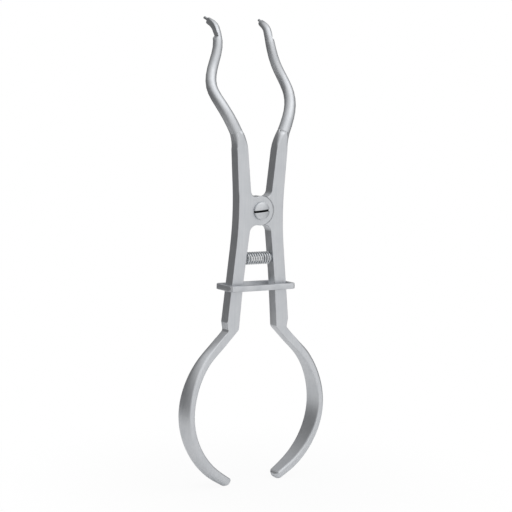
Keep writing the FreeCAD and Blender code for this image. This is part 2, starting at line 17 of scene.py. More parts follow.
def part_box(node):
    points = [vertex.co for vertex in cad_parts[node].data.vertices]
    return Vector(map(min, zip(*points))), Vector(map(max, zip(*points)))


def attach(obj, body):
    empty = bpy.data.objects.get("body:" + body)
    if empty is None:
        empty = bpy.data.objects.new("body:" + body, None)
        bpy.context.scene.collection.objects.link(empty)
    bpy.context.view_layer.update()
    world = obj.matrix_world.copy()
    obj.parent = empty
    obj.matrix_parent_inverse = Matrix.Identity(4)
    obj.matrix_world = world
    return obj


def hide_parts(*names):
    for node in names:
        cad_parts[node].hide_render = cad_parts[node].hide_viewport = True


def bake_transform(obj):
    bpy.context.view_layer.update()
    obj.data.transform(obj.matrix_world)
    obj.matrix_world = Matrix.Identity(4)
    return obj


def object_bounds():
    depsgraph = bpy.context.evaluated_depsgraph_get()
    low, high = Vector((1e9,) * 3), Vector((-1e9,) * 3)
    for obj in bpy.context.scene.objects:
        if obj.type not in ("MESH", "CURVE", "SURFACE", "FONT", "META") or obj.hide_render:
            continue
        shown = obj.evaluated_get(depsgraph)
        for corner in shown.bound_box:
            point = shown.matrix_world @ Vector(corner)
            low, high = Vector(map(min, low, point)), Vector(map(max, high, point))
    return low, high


logging.basicConfig(level=logging.INFO, format="%(message)s")
log = logging.getLogger("forceps")

MM = 0.001
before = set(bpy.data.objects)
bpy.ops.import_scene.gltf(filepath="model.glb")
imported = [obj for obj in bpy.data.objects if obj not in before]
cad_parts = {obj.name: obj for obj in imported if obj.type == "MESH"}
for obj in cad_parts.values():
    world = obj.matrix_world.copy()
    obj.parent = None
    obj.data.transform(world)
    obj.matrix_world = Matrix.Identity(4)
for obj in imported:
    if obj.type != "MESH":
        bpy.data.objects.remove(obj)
CAD_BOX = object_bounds()


class Side(Enum):
    """The two sides of the instrument, as signs of X."""

    LEFT = -1
    RIGHT = 1

    @property
    def word(self) -> str:
        """The side's name in lower case, as the CAD nodes use it."""
        return self.name.lower()

    @property
    def body(self) -> str:
        """Name of the body that carries the pieces on this side."""
        return Body.LEFT.value if self is Side.LEFT else Body.RIGHT.value


class Body(str, Enum):
    """The bodies that the joints move."""

    LEFT = "left_side"
    RIGHT = "right_side"
    RING = "ring"


def linear(hex_colour: str) -> tuple[float, float, float, float]:
    """Turns an sRGB hex colour into linear RGBA.

    Args:
        hex_colour: Six hex digits, with or without a leading #.

    Returns:
        Linear red, green and blue from 0 to 1, and an alpha of 1.
    """
    digits = hex_colour.lstrip("#")
    shares = [int(digits[place : place + 2], 16) / 255.0 for place in (0, 2, 4)]
    curved = [s / 12.92 if s <= 0.04045 else ((s + 0.055) / 1.055) ** 2.4 for s in shares]
    return (curved[0], curved[1], curved[2], 1.0)


def add_node(tree: bpy.types.NodeTree, kind: str, inputs: dict | None = None, **settings) -> bpy.types.Node:
    """Adds one shader node, sets its options and fills or links its inputs.

    Args:
        tree: The node tree that gets the node.
        kind: The node's type name.
        inputs: Input name or number to a plain value, or to an output socket that is linked to it.
        **settings: Options of the node itself.

    Returns:
        The new node.
    """
    node = tree.nodes.new(kind)
    for name, value in settings.items():
        setattr(node, name, value)
    for key, value in (inputs or {}).items():
        if isinstance(value, bpy.types.NodeSocket):
            tree.links.new(value, node.inputs[key])
        else:
            node.inputs[key].default_value = value
    return node


def new_tree(material: bpy.types.Material) -> bpy.types.NodeTree:
    """Clears a material's nodes and returns its empty tree."""
    material.use_nodes = True
    material.node_tree.nodes.clear()
    return material.node_tree


@dataclass(frozen=True)
class SteelFinish:
    """Stainless steel: its colour, how it was surfaced, and the size of the marks that this left.

    Attributes:
        name: Name of the material.
        colour: sRGB hex colour of the clean metal.
        worn: sRGB hex colour of the slightly duller patches.
        roughness: Roughness between the marks.
        grain_mm: Width of one dent of the blasted grain.
        grain_depth: Strength of the grain's bump.
        cloud_mm: Width of the soft patches.
        streak_mm: Width of the polishing streaks, or 0 for none.
        streak_length: How many times longer than wide a streak is.
    """

    name: str
    colour: str
    worn: str
    roughness: float
    grain_mm: float
    grain_depth: float
    cloud_mm: float
    streak_mm: float = 0.0
    streak_length: float = 30.0

    def build(self) -> bpy.types.Material:
        """Makes the material, or returns the one that was made before."""
        known = bpy.data.materials.get(self.name)
        if known:
            return known
        material = bpy.data.materials.new(self.name)
        tree = new_tree(material)
        place = add_node(tree, "ShaderNodeTexCoord").outputs["Object"]
        clouds = add_node(
            tree,
            "ShaderNodeTexNoise",
            {"Vector": place, "Scale": 1.0 / (self.cloud_mm * MM), "Detail": 3.0, "Roughness": 0.6},
        )
        grain = add_node(
            tree,
            "ShaderNodeTexNoise",
            {"Vector": place, "Scale": 1.0 / (self.grain_mm * MM), "Detail": 2.0, "Roughness": 0.5},
        )
        patch = clouds.outputs["Fac"]
        if self.streak_mm:
            longer = (1.0, 1.0, 1.0 / self.streak_length)
            stretched = add_node(tree, "ShaderNodeMapping", {"Vector": place, "Scale": longer})
            streaks = add_node(
                tree,
                "ShaderNodeTexNoise",
                {"Vector": stretched.outputs[0], "Scale": 1.0 / (self.streak_mm * MM), "Detail": 2.0},
            )
            patch = add_node(
                tree,
                "ShaderNodeMix",
                {0: 0.5, 2: clouds.outputs["Fac"], 3: streaks.outputs["Fac"]},
                data_type="FLOAT",
            ).outputs[0]
        spread = add_node(
            tree,
            "ShaderNodeMapRange",
            {"Value": patch, "From Min": 0.3, "From Max": 0.7, "To Min": 0.0, "To Max": 1.0},
        )
        tint = add_node(
            tree,
            "ShaderNodeMix",
            {0: spread.outputs[0], 6: linear(self.colour), 7: linear(self.worn)},
            data_type="RGBA",
        )
        gloss = add_node(
            tree,
            "ShaderNodeMapRange",
            {
                "Value": grain.outputs["Fac"],
                "From Min": 0.3,
                "From Max": 0.7,
                "To Min": self.roughness - 0.03,
                "To Max": self.roughness + 0.04,
            },
        )
        dents = add_node(
            tree,
            "ShaderNodeBump",
            {"Height": grain.outputs["Fac"], "Strength": self.grain_depth, "Distance": 0.02 * MM},
        )
        shader = add_node(
            tree,
            "ShaderNodeBsdfPrincipled",
            {
                "Base Color": tint.outputs[2],
                "Metallic": 1.0,
                "Roughness": gloss.outputs[0],
                "Normal": dents.outputs[0],
            },
        )
        add_node(tree, "ShaderNodeOutputMaterial", {"Surface": shader.outputs[0]})
        return material


# Forged stainless steel, bead-blasted and lightly polished by hand: an even satin grey whose
# reflections are broad and soft, with faint streaks along the shanks.
BLASTED_FORGING = SteelFinish(
    name="blasted_forged_steel",
    colour="#dcdee1",
    worn="#cfd2d6",
    roughness=0.43,
    grain_mm=0.35,
    grain_depth=0.3,
    cloud_mm=6.0,
    streak_mm=0.5,
)

# Stainless steel turned on a lathe and tumbled: brighter than the forgings and a little smoother.
TUMBLED_TURNING = SteelFinish(
    name="tumbled_turned_steel",
    colour="#dbdde0",
    worn="#cbced2",
    roughness=0.42,
    grain_mm=0.3,
    grain_depth=0.25,
    cloud_mm=2.5,
)

# Stainless strip, bent and blasted like the levers.
BLASTED_STRIP = SteelFinish(
    name="blasted_strip_steel",
    colour="#dcdee1",
    worn="#cdd0d4",
    roughness=0.46,
    grain_mm=0.35,
    grain_depth=0.3,
    cloud_mm=4.0,
)

# Slot of the screw: painted shade, a dull, nearly black steel that stands in for the shade inside the
# recess.
SLOT_PAINTED_SHADE = SteelFinish(
    name="slot_painted_shade_steel",
    colour="#3a3c3f",
    worn="#2b2d30",
    roughness=0.6,
    grain_mm=0.3,
    grain_depth=0.2,
    cloud_mm=1.0,
)

# Bright hard-drawn wire: clean highlights on every coil, and dark between them.
DRAWN_WIRE = SteelFinish(
    name="drawn_spring_wire",
    colour="#e2e4e6",
    worn="#cdd0d3",
    roughness=0.28,
    grain_mm=0.3,
    grain_depth=0.2,
    cloud_mm=1.5,
)


def deselect_all() -> None:
    """Leaves edit mode and deselects everything, the CAD nodes included."""
    if bpy.context.object and bpy.context.object.mode != "OBJECT":
        bpy.ops.object.mode_set(mode="OBJECT")
    bpy.ops.object.select_all(action="DESELECT")


def make_active(piece: bpy.types.Object) -> None:
    """Makes a piece the only selected and the active object."""
    deselect_all()
    piece.select_set(True)
    bpy.context.view_layer.objects.active = piece


def apply_place(piece: bpy.types.Object) -> None:
    """Moves a piece's place, turn and scale into its mesh."""
    make_active(piece)
    bpy.ops.object.transform_apply(location=True, rotation=True, scale=True)


def select_verts(piece: bpy.types.Object, wanted: Callable[[Vector], bool]) -> None:
    """Selects the vertices that pass a test, and opens edit mode on them.

    Args:
        piece: The mesh object.
        wanted: Says from a vertex's place whether it is wanted.
    """
    make_active(piece)
    bpy.ops.object.mode_set(mode="EDIT")
    bpy.ops.mesh.select_mode(type="VERT")
    bpy.ops.mesh.select_all(action="DESELECT")
    bpy.ops.object.mode_set(mode="OBJECT")
    for vertex in piece.data.vertices:
        vertex.select = wanted(vertex.co)
    bpy.ops.object.mode_set(mode="EDIT")


def join_flats(piece: bpy.types.Object) -> None:
    """Joins the triangles of each flat face into one face, so that it shades as one."""
    select_verts(piece, lambda place: True)
    bpy.ops.mesh.dissolve_limited(angle_limit=math.radians(0.3))
    bpy.ops.object.mode_set(mode="OBJECT")


def smooth_by(piece: bpy.types.Object, degrees: float) -> None:
    """Shades a piece smooth across every edge that turns less than an angle, weighted by face area."""
    make_active(piece)
    bpy.ops.object.shade_smooth_by_angle(angle=math.radians(degrees))
    weighted = piece.modifiers.new("even_faces", "WEIGHTED_NORMAL")
    weighted.keep_sharp = True
    bpy.ops.object.modifier_apply(modifier=weighted.name)


def copy_of_node(node: str, name: str) -> bpy.types.Object:
    """Copies a CAD node's mesh into a new piece and joins its loose triangles.

    Args:
        node: Name of the CAD node.
        name: Name of the new piece.

    Returns:
        The piece, with no parent and its place in its mesh.
    """
    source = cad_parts[node]
    piece = bpy.data.objects.new(name, source.data.copy())
    piece.data.name = name
    bpy.context.scene.collection.objects.link(piece)
    piece.data.materials.clear()
    select_verts(piece, lambda place: True)
    bpy.ops.mesh.remove_doubles(threshold=0.001 * MM)
    bpy.ops.mesh.normals_make_consistent(inside=False)
    bpy.ops.object.mode_set(mode="OBJECT")
    join_flats(piece)
    return piece


def dress(piece: bpy.types.Object, finish: SteelFinish) -> None:
    """Gives a piece its finish."""
    piece.data.materials.clear()
    piece.data.materials.append(finish.build())


@dataclass(frozen=True)
class BowMark:
    """A point of the bow's centre line, and the bar's section there, all in millimetres."""

    x: float
    z: float
    depth: float
    thick: float


@dataclass
class Bow:
    """The bow of a lever: a bar with a crowned outer face, swept along its curve to a rounded end.

    Attributes:
        side: Which lever the bow belongs to.
        lean: Angle at which the bow leaves the elbow, in degrees from straight down.
        marks: Points of the centre line from the root to the end.
        middle_y: Depth of the centre line behind the front faces.
        start: Distance from the root at which the swept bar begins.
        corner: Corner radius at the root.
        inner_round: Corner radius of the inner face.
        outer_round: Corner radius of the outer face.
        crown: Height of the outer face's crown where the bar is crown_depth deep.
        crown_depth: Depth of the bar's widest section.
        crown_raised: Share of the crown that stands above the plain bar.
        end_round: How much the rounded end takes off half the thickness.
        end_depth: How much it takes off half the depth.
        end_length: Length of the rounded end.
        growth: Share of the length over which the corners grow to their radius.
        stations: Sections along the bar.
        corner_steps: Steps round each corner.
        face_steps: Steps across each wide face.
        end_steps: Steps round the end.
        easing_passes: Passes that ease the centre line's directions.
        seam_gap: How far above the root the shank is cut.
        corner_fit: Largest share of half a side that a corner may take.
        outer_fit: The same for the outer corners, against the thickness.
    """

    side: Side
    lean: float = 45.0
    marks: tuple[BowMark, ...] = (
        BowMark(13.967, -46.959, 4.4, 3.1),
        BowMark(21.25, -54.1, 5.2, 3.2),
        BowMark(27.04, -64.45, 7.6, 3.05),
        BowMark(28.55, -74.75, 8.6, 2.9),
        BowMark(25.6, -85.5, 7.9, 3.1),
        BowMark(17.0, -95.9, 6.7, 3.3),
        BowMark(10.2, -100.35, 5.6, 2.8),
    )
    middle_y: float = 2.2
    start: float = 0.9
    corner: float = 0.3
    inner_round: float = 0.8
    outer_round: float = 1.35
    crown: float = 2.0
    crown_depth: float = 8.6
    crown_raised: float = 0.5
    end_round: float = 1.3
    end_depth: float = 2.3
    end_length: float = 1.7
    growth: float = 0.18
    stations: int = 72
    corner_steps: int = 7
    face_steps: int = 10
    end_steps: int = 8
    easing_passes: int = 60
    seam_gap: float = 0.15
    corner_fit: float = 0.9
    outer_fit: float = 0.93

    def tangents(self) -> list[Vector]:
        """Directions of the centre line at its marks, which bend it as little as possible.

        Returns:
            One direction per mark, in the plane of X and Z.
        """
        spots = [Vector((mark.x, mark.z)) for mark in self.marks]
        spans = [(there - here).length for here, there in zip(spots, spots[1:])]
        lean = math.radians(self.lean)
        found = [Vector((math.sin(lean), -math.cos(lean)))]
        found += [(after - before).normalized() for before, after in zip(spots, spots[2:])]
        found.append((spots[-1] - spots[-2]).normalized())
        for _ in range(self.easing_passes):
            for i in range(1, len(spots) - 1):
                before, after = spans[i - 1], spans[i]
                behind = (spots[i] - spots[i - 1]) * (after / before)
                ahead = (spots[i + 1] - spots[i]) * (before / after)
                pull = (behind + ahead) * 3.0 - found[i - 1] * after - found[i + 1] * before
                found[i] = pull / (2.0 * (before + after))
        return found

    def centre_line(self, steps: int = 40) -> list[tuple[float, Vector, Vector, float]]:
        """Follows the centre line in small steps.

        Args:
            steps: Steps between two marks.

        Returns:
            For each step the distance gone, the place, the direction, and the mark number reached.
        """
        ways = self.tangents()
        line: list[tuple[float, Vector, Vector, float]] = []
        gone = 0.0
        for i, (here, there) in enumerate(zip(self.marks, self.marks[1:])):
            first, last = Vector((here.x, here.z)), Vector((there.x, there.z))
            span = (last - first).length
            for step in range(steps + (i == len(self.marks) - 2)):
                t = step / steps
                place = (
                    first * (2 * t**3 - 3 * t**2 + 1)
                    + ways[i] * span * (t**3 - 2 * t**2 + t)
                    + last * (3 * t**2 - 2 * t**3)
                    + ways[i + 1] * span * (t**3 - t**2)
                )
                way = (
                    first * (6 * t**2 - 6 * t)
                    + ways[i] * span * (3 * t**2 - 4 * t + 1)
                    + last * (6 * t - 6 * t**2)
                    + ways[i + 1] * span * (3 * t**2 - 2 * t)
                )
                if line:
                    gone += (place - line[-1][1]).length
                line.append((gone, place, way.normalized(), i + t))
        return line

    def size_at(self, reached: float, name: str) -> float:
        """A size between two marks, eased so that the bar shows no kink.

        Args:
            reached: Number of the mark reached, with its fraction.
            name: Name of the size in BowMark.

        Returns:
            The size in millimetres.
        """
        total = 0.0
        spreads = (-0.4, -0.2, 0.0, 0.2, 0.4)
        for spread in spreads:
            spot = min(max(reached + spread * min(1.0, reached), 0.0), len(self.marks) - 1.0)
            low = min(int(spot), len(self.marks) - 2)
            share = spot - low
            here, there = getattr(self.marks[low], name), getattr(self.marks[low + 1], name)
            total += here * (1.0 - share) + there * share
        return total / len(spreads)

    def section(
        self, deep: float, thick: float, inner: float, outer: float, crown: float
    ) -> list[tuple[float, float]]:
        """Outline of the bar's section, once round from the middle of its outer face.

        Args:
            deep: Half the depth.
            thick: Half the thickness.
            inner: Corner radius of the inner face.
            outer: Corner radius of the outer face.
            crown: Height of the outer face's crown.

        Returns:
            Points as (depth, outward).
        """
        top = thick + self.crown_raised * crown
        tilt = math.atan(2.0 * crown * (deep - outer) / deep**2)
        reach = deep - outer + outer * math.sin(tilt)
        edge = top - crown * (reach / deep) ** 2
        half: list[tuple[float, float]] = []
        for step in range(self.face_steps // 2):
            y = reach * step / (self.face_steps // 2)
            half.append((y, top - crown * (y / deep) ** 2))
        for step in range(self.corner_steps + 1):
            turn = tilt + (math.pi / 2.0 - tilt) * step / self.corner_steps
            y = deep - outer + outer * math.sin(turn)
            half.append((y, edge - outer * math.cos(tilt) + outer * math.cos(turn)))
        for step in range(self.corner_steps + 1):
            turn = math.pi / 2.0 + math.pi / 2.0 * step / self.corner_steps
            y = deep - inner + inner * math.sin(turn)
            half.append((y, -thick + inner + inner * math.cos(turn)))
        for step in range(1, self.face_steps // 2):
            half.append(((deep - inner) * (1.0 - step / (self.face_steps // 2)), -thick))
        half.append((0.0, -thick))
        return half + [(-y, out) for y, out in reversed(half[1:-1])]

    def rings(self) -> list[list[Vector]]:
        """Places of the bar's sections from the root to the rounded end, in metres.

        Returns:
            One closed ring of points per section.
        """
        line = self.centre_line()
        whole = line[-1][0]
        body_end = whole - self.end_length
        body = body_end - self.start
        goals = [(self.start + body * i / (self.stations - 1), 1.0) for i in range(self.stations)]
        for step in range(1, self.end_steps):
            turn = math.pi / 2.0 * step / self.end_steps
            goals.append((body_end + self.end_length * math.sin(turn), math.cos(turn)))
        rings = []
        for goal, full in goals:
            gone, place, way, reached = min(line, key=lambda entry: abs(entry[0] - goal))
            place = place + way * (goal - gone)
            ease = min(1.0, goal / (self.growth * whole))
            ease = ease * ease * (3.0 - 2.0 * ease)
            deep = self.size_at(reached, "depth") / 2.0 - self.end_depth * (1.0 - full)
            thick = self.size_at(reached, "thick") / 2.0 - self.end_round * (1.0 - full)
            inner = self.corner + (self.inner_round - self.corner) * ease
            inner = min(inner, self.corner_fit * thick, self.corner_fit * deep)
            crown = self.crown * ease * full * min(1.0, 2.0 * deep / self.crown_depth)
            room = self.outer_fit * (2.0 * thick - inner - (1.0 - self.crown_raised) * crown)
            outer = self.corner + (self.outer_round - self.corner) * ease
            outer = min(outer, room, self.outer_fit * thick, self.corner_fit * deep)
            outward = Vector((-way.y, way.x))
            ring = []
            for y, out in self.section(deep, thick, inner, outer, crown):
                spot = place + outward * out
                ring.append(Vector((self.side.value * spot.x, self.middle_y + y, spot.y)) * MM)
            rings.append(ring)
        return rings

    def root(self) -> tuple[Vector, Vector]:
        """Place and direction of the plane in which the lever's shank ends and the bow begins."""
        lean = math.radians(self.lean)
        way = Vector((self.side.value * math.sin(lean), 0.0, -math.cos(lean)))
        place = Vector((self.side.value * self.marks[0].x, self.middle_y, self.marks[0].z)) * MM
        return place - way * self.seam_gap * MM, way

    def build(self, name: str) -> bpy.types.Object:
        """Sweeps the bar as a tube that is open at its root.

        Args:
            name: Name of the new piece.

        Returns:
            The bare tube.
        """
        rings = self.rings()
        round_steps = len(rings[0])
        deselect_all()
        bpy.ops.mesh.primitive_grid_add(x_subdivisions=round_steps, y_subdivisions=len(rings) - 1, size=1.0)
        tube = bpy.context.object
        tube.name = name
        for vertex in tube.data.vertices:
            column = round((vertex.co.x + 0.5) * round_steps) % round_steps
            row = round((vertex.co.y + 0.5) * (len(rings) - 1))
            vertex.co = rings[row][column]
        end = sum(rings[-1], Vector()) / round_steps
        near = max((spot - end).length for spot in rings[-1]) + 0.001 * MM
        select_verts(tube, lambda place: True)
        bpy.ops.mesh.remove_doubles(threshold=0.0005 * MM)
        bpy.ops.object.mode_set(mode="OBJECT")
        select_verts(tube, lambda place: (place - end).length < near)
        bpy.ops.mesh.edge_face_add()
        bpy.ops.object.mode_set(mode="OBJECT")
        return tube


@dataclass
class TipNotch:
    """The notch ground into the outer side of an arm's end.

    Attributes:
        side: Which arm the notch is in.
        base: Point of the arm's axis at the notch's shelf, in millimetres.
        end: Point of the arm's axis at its end.
        turn: Angle by which the notch faces back from sideways.
        gap: From the axis to the flat at the shelf.
        end_gap: From the axis to the flat at the arm's end.
        shelf: Slope of the shelf, in degrees.
        width: Width of the wedge.
        overshoot: How many times the notch's height the wedge reaches up.
        wedge_front: How far in front of the arm's axis the wedge starts.
        wedge_depth: Depth of the wedge from front to back.
    """

    side: Side
    base: tuple[float, float, float] = (11.391, 15.126, 62.75)
    end: tuple[float, float, float] = (11.7, 21.2, 68.45)
    turn: float = 6.0
    gap: float = 0.2
    end_gap: float = 0.9
    shelf: float = 33.0
    width: float = 4.0
    overshoot: float = 1.5
    wedge_front: float = 6.0
    wedge_depth: float = 14.0

    def cut(self, lever: bpy.types.Object) -> None:
        """Grinds the notch out of a lever with a wedge that is deleted afterwards.

        Args:
            lever: The lever's piece.
        """
        turn = math.radians(self.turn)
        outward = Vector((self.side.value * math.cos(turn), math.sin(turn), 0.0))
        along = Vector((-self.side.value * math.sin(turn), math.cos(turn), 0.0))
        base = Vector((self.side.value * self.base[0], *self.base[1:]))
        end = Vector((self.side.value * self.end[0], *self.end[1:]))
        rise = end.z - base.z
        run = (end - base).dot(outward) + self.end_gap - self.gap
        drop = self.width * math.tan(math.radians(self.shelf))
        corners = [
            (self.gap, 0.0),
            (self.gap + self.width, -drop),
            (self.gap + self.width + run, self.overshoot * rise),
            (self.gap + self.overshoot * run, self.overshoot * rise),
        ]
        deselect_all()
        bpy.ops.mesh.primitive_plane_add(size=1.0)
        wedge = bpy.context.object
        wedge.name = "notch_wheel"
        order = sorted(wedge.data.vertices, key=lambda v: math.atan2(v.co.y, v.co.x))
        for vertex, (out, up) in zip(order, corners):
            spot = base + outward * out + Vector((0.0, 0.0, up))
            vertex.co = (spot - along * self.wedge_front) * MM
        select_verts(wedge, lambda place: True)
        push = along * self.wedge_depth * MM
        bpy.ops.mesh.extrude_region_move(TRANSFORM_OT_translate={"value": push})
        bpy.ops.mesh.select_all(action="SELECT")
        bpy.ops.mesh.normals_make_consistent(inside=False)
        bpy.ops.object.mode_set(mode="OBJECT")
        make_active(lever)
        grind = lever.modifiers.new("grind", "BOOLEAN")
        grind.operation = "DIFFERENCE"
        grind.solver = "EXACT"
        grind.object = wedge
        bpy.ops.object.modifier_apply(modifier=grind.name)
        bpy.data.objects.remove(wedge)


@dataclass
class Lever:
    """One forged lever, from the peg at its tip to the end of its bow.

    Attributes:
        side: Which side the lever is on.
        top_height: Height of the step, hair-thin in the CAD, where the flat bar turns round.
        step_near: How near to that height a vertex belongs to the step.
        step_gap: Vertices of the step that are closer than this are joined.
        smooth_degrees: Edges that turn less than this shade as one surface.
    """

    side: Side
    top_height: float = 22.0 * MM
    step_near: float = 0.002 * MM
    step_gap: float = 0.06 * MM
    smooth_degrees: float = 50.0

    @property
    def node(self) -> str:
        """Name of the CAD node."""
        return self.side.word + "_lever"

    def join_bow(self, shank: bpy.types.Object) -> None:
        """Cuts the plain bow off the shank and joins the swept one on in its place.

        Args:
            shank: The lever's piece.
        """
        bow = Bow(self.side)
        place, way = bow.root()
        select_verts(shank, lambda spot: True)
        bpy.ops.mesh.bisect(plane_co=place, plane_no=way, clear_outer=True, threshold=1e-7)
        bpy.ops.object.mode_set(mode="OBJECT")
        tube = bow.build(self.node + "_bow")
        deselect_all()
        tube.select_set(True)
        shank.select_set(True)
        bpy.context.view_layer.objects.active = shank
        bpy.ops.object.join()
        bpy.ops.object.mode_set(mode="EDIT")
        bpy.ops.mesh.select_mode(type="EDGE")
        bpy.ops.mesh.select_all(action="DESELECT")
        bpy.ops.mesh.select_non_manifold(
            use_wire=False, use_multi_face=False, use_non_contiguous=False
        )
        bpy.ops.mesh.bridge_edge_loops()
        bpy.ops.mesh.select_all(action="SELECT")
        bpy.ops.mesh.normals_make_consistent(inside=False)
        bpy.ops.object.mode_set(mode="OBJECT")

    def build(self) -> bpy.types.Object:
        """Makes the lever as one smooth forging.

        Returns:
            The dressed piece, riding on its body.
        """
        piece = copy_of_node(self.node, self.node + "_forging")
        select_verts(piece, lambda place: abs(place.z - self.top_height) < self.step_near)
        bpy.ops.mesh.remove_doubles(threshold=self.step_gap)
        bpy.ops.object.mode_set(mode="OBJECT")
        TipNotch(self.side).cut(piece)
        self.join_bow(piece)
        smooth_by(piece, self.smooth_degrees)
        dress(piece, BLASTED_FORGING)
        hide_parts(self.node)
        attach(piece, self.side.body)
        log.info("%s: %d faces", piece.name, len(piece.data.polygons))
        return piece


@dataclass
class PivotScrew:
    """The slotted pivot screw.

    Attributes:
        edge_break: Width of the rounding on its sharp edges.
        slot_width: Width of the slot.
        head_radius: Radius of the head.
        slot_lean: How much the slot rises for each unit that it runs to the right.
        face_front: Depth of the front faces of the head, which stay bright.
        smooth_degrees: Edges that turn less than this shade as one surface.
    """

    edge_break: float = 0.07 * MM
    slot_width: float = 0.8 * MM
    head_radius: float = 2.6 * MM
    slot_lean: float = 0.1
    face_front: float = -1.9 * MM
    smooth_degrees: float = 40.0

    def paint_slot_shade(self, piece: bpy.types.Object) -> None:
        """Gives the walls and the floor of the slot a painted shade: a near-black steel stands in for the
        shade in the recess.
        """
        piece.data.materials.append(SLOT_PAINTED_SHADE.build())
        for face in piece.data.polygons:
            across = abs(face.center.z - face.center.x * self.slot_lean)
            upright = abs(face.normal.y) < 0.5 and abs(face.normal.z) > 0.8
            sunk = face.center.y > self.face_front and across < 0.3 * self.slot_width
            floor = face.normal.y < -0.9 and sunk
            inside = face.center.xz.length < self.head_radius and across < 0.7 * self.slot_width
            if inside and (upright or floor):
                # Painted shade: faces inside the slot take the near-black steel.
                face.material_index = 1

    def build(self) -> bpy.types.Object:
        """Makes the screw with softened edges.

        Returns:
            The dressed piece, riding on the right side.
        """
        piece = copy_of_node("pivot_screw", "pivot_screw_turned")
        make_active(piece)
        bevel = piece.modifiers.new("edge_break", "BEVEL")
        bevel.width = self.edge_break
        bevel.segments = 2
        bevel.limit_method = "ANGLE"
        bevel.angle_limit = math.radians(35.0)
        bpy.ops.object.modifier_apply(modifier=bevel.name)
        smooth_by(piece, self.smooth_degrees)
        dress(piece, TUMBLED_TURNING)
        self.paint_slot_shade(piece)
        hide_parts("pivot_screw")
        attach(piece, Body.RIGHT.value)
        log.info("%s: %d faces", piece.name, len(piece.data.polygons))
        return piece


@dataclass
class SpringPin:
    """One of the two pins that the spring's ends sit on."""

    side: Side

    def build(self) -> bpy.types.Object:
        """Makes the pin with smooth shading.

        Returns:
            The dressed piece, riding on its side.
        """
        node = self.side.word + "_spring_pin"
        piece = copy_of_node(node, node + "_turned")
        smooth_by(piece, 40.0)
        dress(piece, TUMBLED_TURNING)
        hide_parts(node)
        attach(piece, self.side.body)
        log.info("%s: %d faces", piece.name, len(piece.data.polygons))
        return piece


@dataclass
class LockingRing:
    """The oblong ring that slides along the shanks."""

    def build(self) -> bpy.types.Object:
        """Makes the ring with soft rims.

        Returns:
            The dressed piece, riding on the ring's body.
        """
        piece = copy_of_node("locking_ring", "locking_ring_strip")
        smooth_by(piece, 50.0)
        dress(piece, BLASTED_STRIP)
        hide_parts("locking_ring")
        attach(piece, Body.RING.value)
        log.info("%s: %d faces", piece.name, len(piece.data.polygons))
        return piece


@dataclass
class Spring:
    """The coil spring across the gap between the shanks.

    Attributes:
        wire: Diameter of the wire.
        outside: Outside radius of the coil.
        turns: Number of turns, the two closed ones included.
        centre_y: Depth of the coil's axis.
        centre_z: Height of the coil's axis.
        wire_sides: Sides of the wire's round section.
        turn_steps: Steps in one turn.
    """

    wire: float = 0.65 * MM
    outside: float = 2.35 * MM
    turns: float = 10.5
    centre_y: float = 2.2 * MM
    centre_z: float = -17.5 * MM
    wire_sides: int = 12
    turn_steps: int = 32

    def half_length(self) -> float:
        """Half the coil's length, as the CAD node's box gives it."""
        low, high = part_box("spring")
        return min(-low[0], high[0])

    def closed_ends(self, share: float, travel: float) -> float:
        """Where along the axis a point of the wire lies, with the last turn at each end closed up.

        Args:
            share: Share of the turns, from 0 to 1.
            travel: Length of the wire's travel along the axis.

        Returns:
            Share of the travel along the axis, from 0 to 1.
        """
        tight = self.wire / travel
        end = 1.0 / self.turns
        if share < end:
            return share * self.turns * tight
        if share > 1.0 - end:
            return 1.0 - (1.0 - share) * self.turns * tight
        return tight + (share - end) / (1.0 - 2.0 * end) * (1.0 - 2.0 * tight)

    def build(self) -> bpy.types.Object:
        """Winds the spring.

        Returns:
            The dressed piece, which lies between the two sides.
        """
        deselect_all()
        coil_radius = self.outside - self.wire / 2.0
        bpy.ops.mesh.primitive_circle_add(
            vertices=self.wire_sides,
            radius=self.wire / 2.0,
            fill_type="NOTHING",
            location=(coil_radius, 0.0, 0.0),
            rotation=(math.pi / 2.0, 0.0, 0.0),
        )
        piece = bpy.context.object
        piece.name = "spring_coil"
        apply_place(piece)
        travel = 2.0 * self.half_length() - self.wire
        winding = piece.modifiers.new("winding", "SCREW")
        winding.axis = "Z"
        winding.angle = 2.0 * math.pi * self.turns
        winding.screw_offset = travel
        winding.steps = int(self.turn_steps * self.turns)
        winding.render_steps = winding.steps
        bpy.ops.object.modifier_apply(modifier=winding.name)
        for vertex in piece.data.vertices:
            around = math.atan2(vertex.co.y, vertex.co.x)
            turn = vertex.co.z / travel * self.turns
            nearest = round(turn - around / (2.0 * math.pi)) + around / (2.0 * math.pi)
            share = min(max(nearest / self.turns, 0.0), 1.0)
            vertex.co.z += (self.closed_ends(share, travel) - share) * travel
        make_active(piece)
        bpy.ops.object.mode_set(mode="EDIT")
        bpy.ops.mesh.select_mode(type="EDGE")
        bpy.ops.mesh.select_all(action="DESELECT")
        bpy.ops.mesh.select_non_manifold()
        bpy.ops.mesh.edge_face_add()
        bpy.ops.mesh.select_all(action="SELECT")
        bpy.ops.mesh.normals_make_consistent(inside=False)
        bpy.ops.object.mode_set(mode="OBJECT")
        start = Vector((-travel / 2.0, self.centre_y, self.centre_z))
        lay_down = Matrix.Rotation(math.pi / 2.0, 4, "Y")
        piece.data.transform(Matrix.Translation(start) @ lay_down)
        smooth_by(piece, 60.0)
        dress(piece, DRAWN_WIRE)
        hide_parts("spring")
        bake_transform(piece)
        log.info("%s: %d faces", piece.name, len(piece.data.polygons))
        return piece


